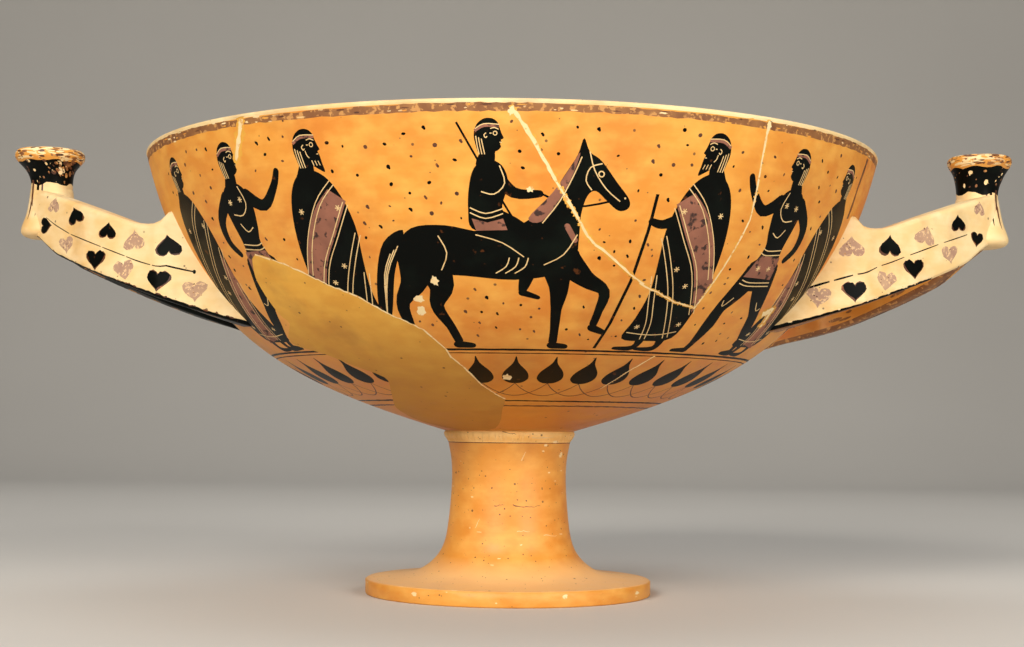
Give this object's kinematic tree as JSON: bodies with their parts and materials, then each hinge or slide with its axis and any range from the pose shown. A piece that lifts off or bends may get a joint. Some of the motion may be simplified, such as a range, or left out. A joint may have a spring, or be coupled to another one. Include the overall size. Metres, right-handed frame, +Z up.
{
  "type": "kylix cup",
  "caption": "Footed clay drinking cup: wide hollow bowl on a stem with a spreading disc foot, and raised wishbone handles that end in upright spool knobs.",
  "frame": {"origin": "centre of the foot's underside, on the surface the cup stands on", "axes": "+Z up along the cup's turning axis, X through both handles, -Y towards the painted front"},
  "size_m": [0.3018, 0.217, 0.1335],
  "materials": {
    "painted_clay": "smooth fired orange clay, with figures and ornament in a glossy black slip"
  },
  "bodies": {
    "root": {"cup": "painted_clay"}
  },
  "joints": []
}
